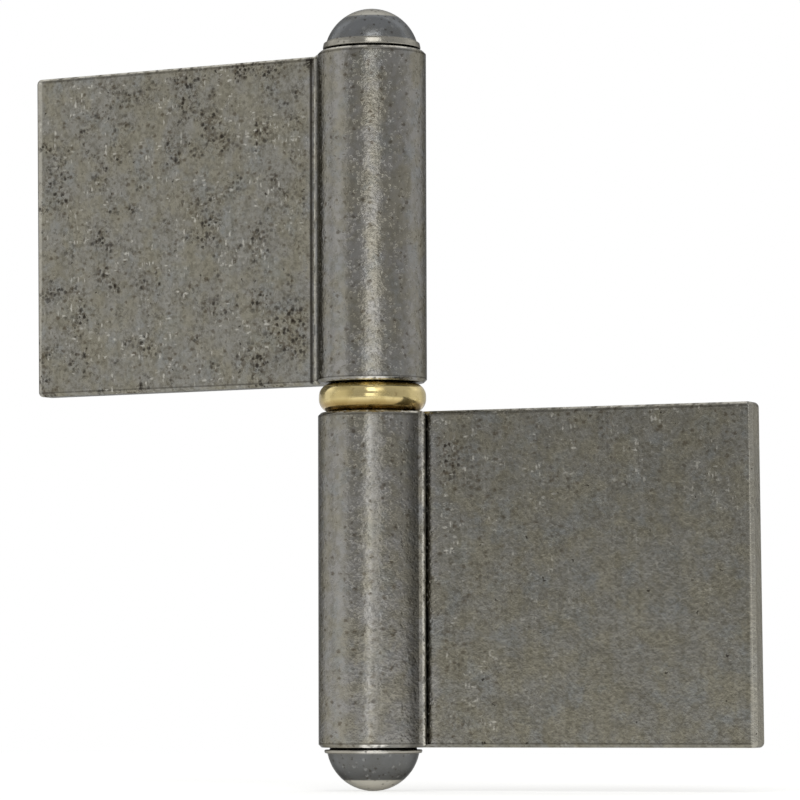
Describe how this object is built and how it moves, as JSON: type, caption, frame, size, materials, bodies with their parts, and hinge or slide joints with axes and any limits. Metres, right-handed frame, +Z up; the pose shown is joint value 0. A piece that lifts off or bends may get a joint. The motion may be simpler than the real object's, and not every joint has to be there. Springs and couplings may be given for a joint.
{
  "type": "weld-on barrel hinge",
  "caption": "Lift-off barrel hinge for welding: two flag leaves rolled into knuckles turn on a fixed pin and a loose brass ring, closed by domed heads.",
  "frame": {"origin": "on the hinge line, in the plane of the lower knuckle's bearing face, where the ring rests", "axes": "+Z up along the hinge line from the pin's head to the plug, +X along the lower leaf away from its knuckle, +Y out of the lower leaf's plain face, away from its seam"},
  "size_m": [0.1215, 0.0174, 0.1175],
  "materials": {
    "sheet_steel": "bare rolled steel, mottled, with light rust stains and pits",
    "pin_steel": "bare formed steel, satin, slightly darker than the sheet",
    "ring_brass": "turned and worn bright, lightly tarnished"
  },
  "bodies": {
    "lower_half": {"lower_leaf": "sheet_steel", "hinge_pin": "pin_steel"},
    "ring": {"brass_ring": "ring_brass"},
    "upper_half": {"upper_leaf": "sheet_steel", "top_plug": "pin_steel"}
  },
  "joints": [
    {"name": "swing", "type": "hinge", "parent": "lower_half", "child": "ring", "pos_m": [0, 0, 0], "axis": [0, 0, 1], "continuous": true},
    {"name": "lift_off", "type": "slide", "parent": "ring", "child": "upper_half", "axis": [0, 0, 1], "range_m": [0, 0.04]}
  ]
}
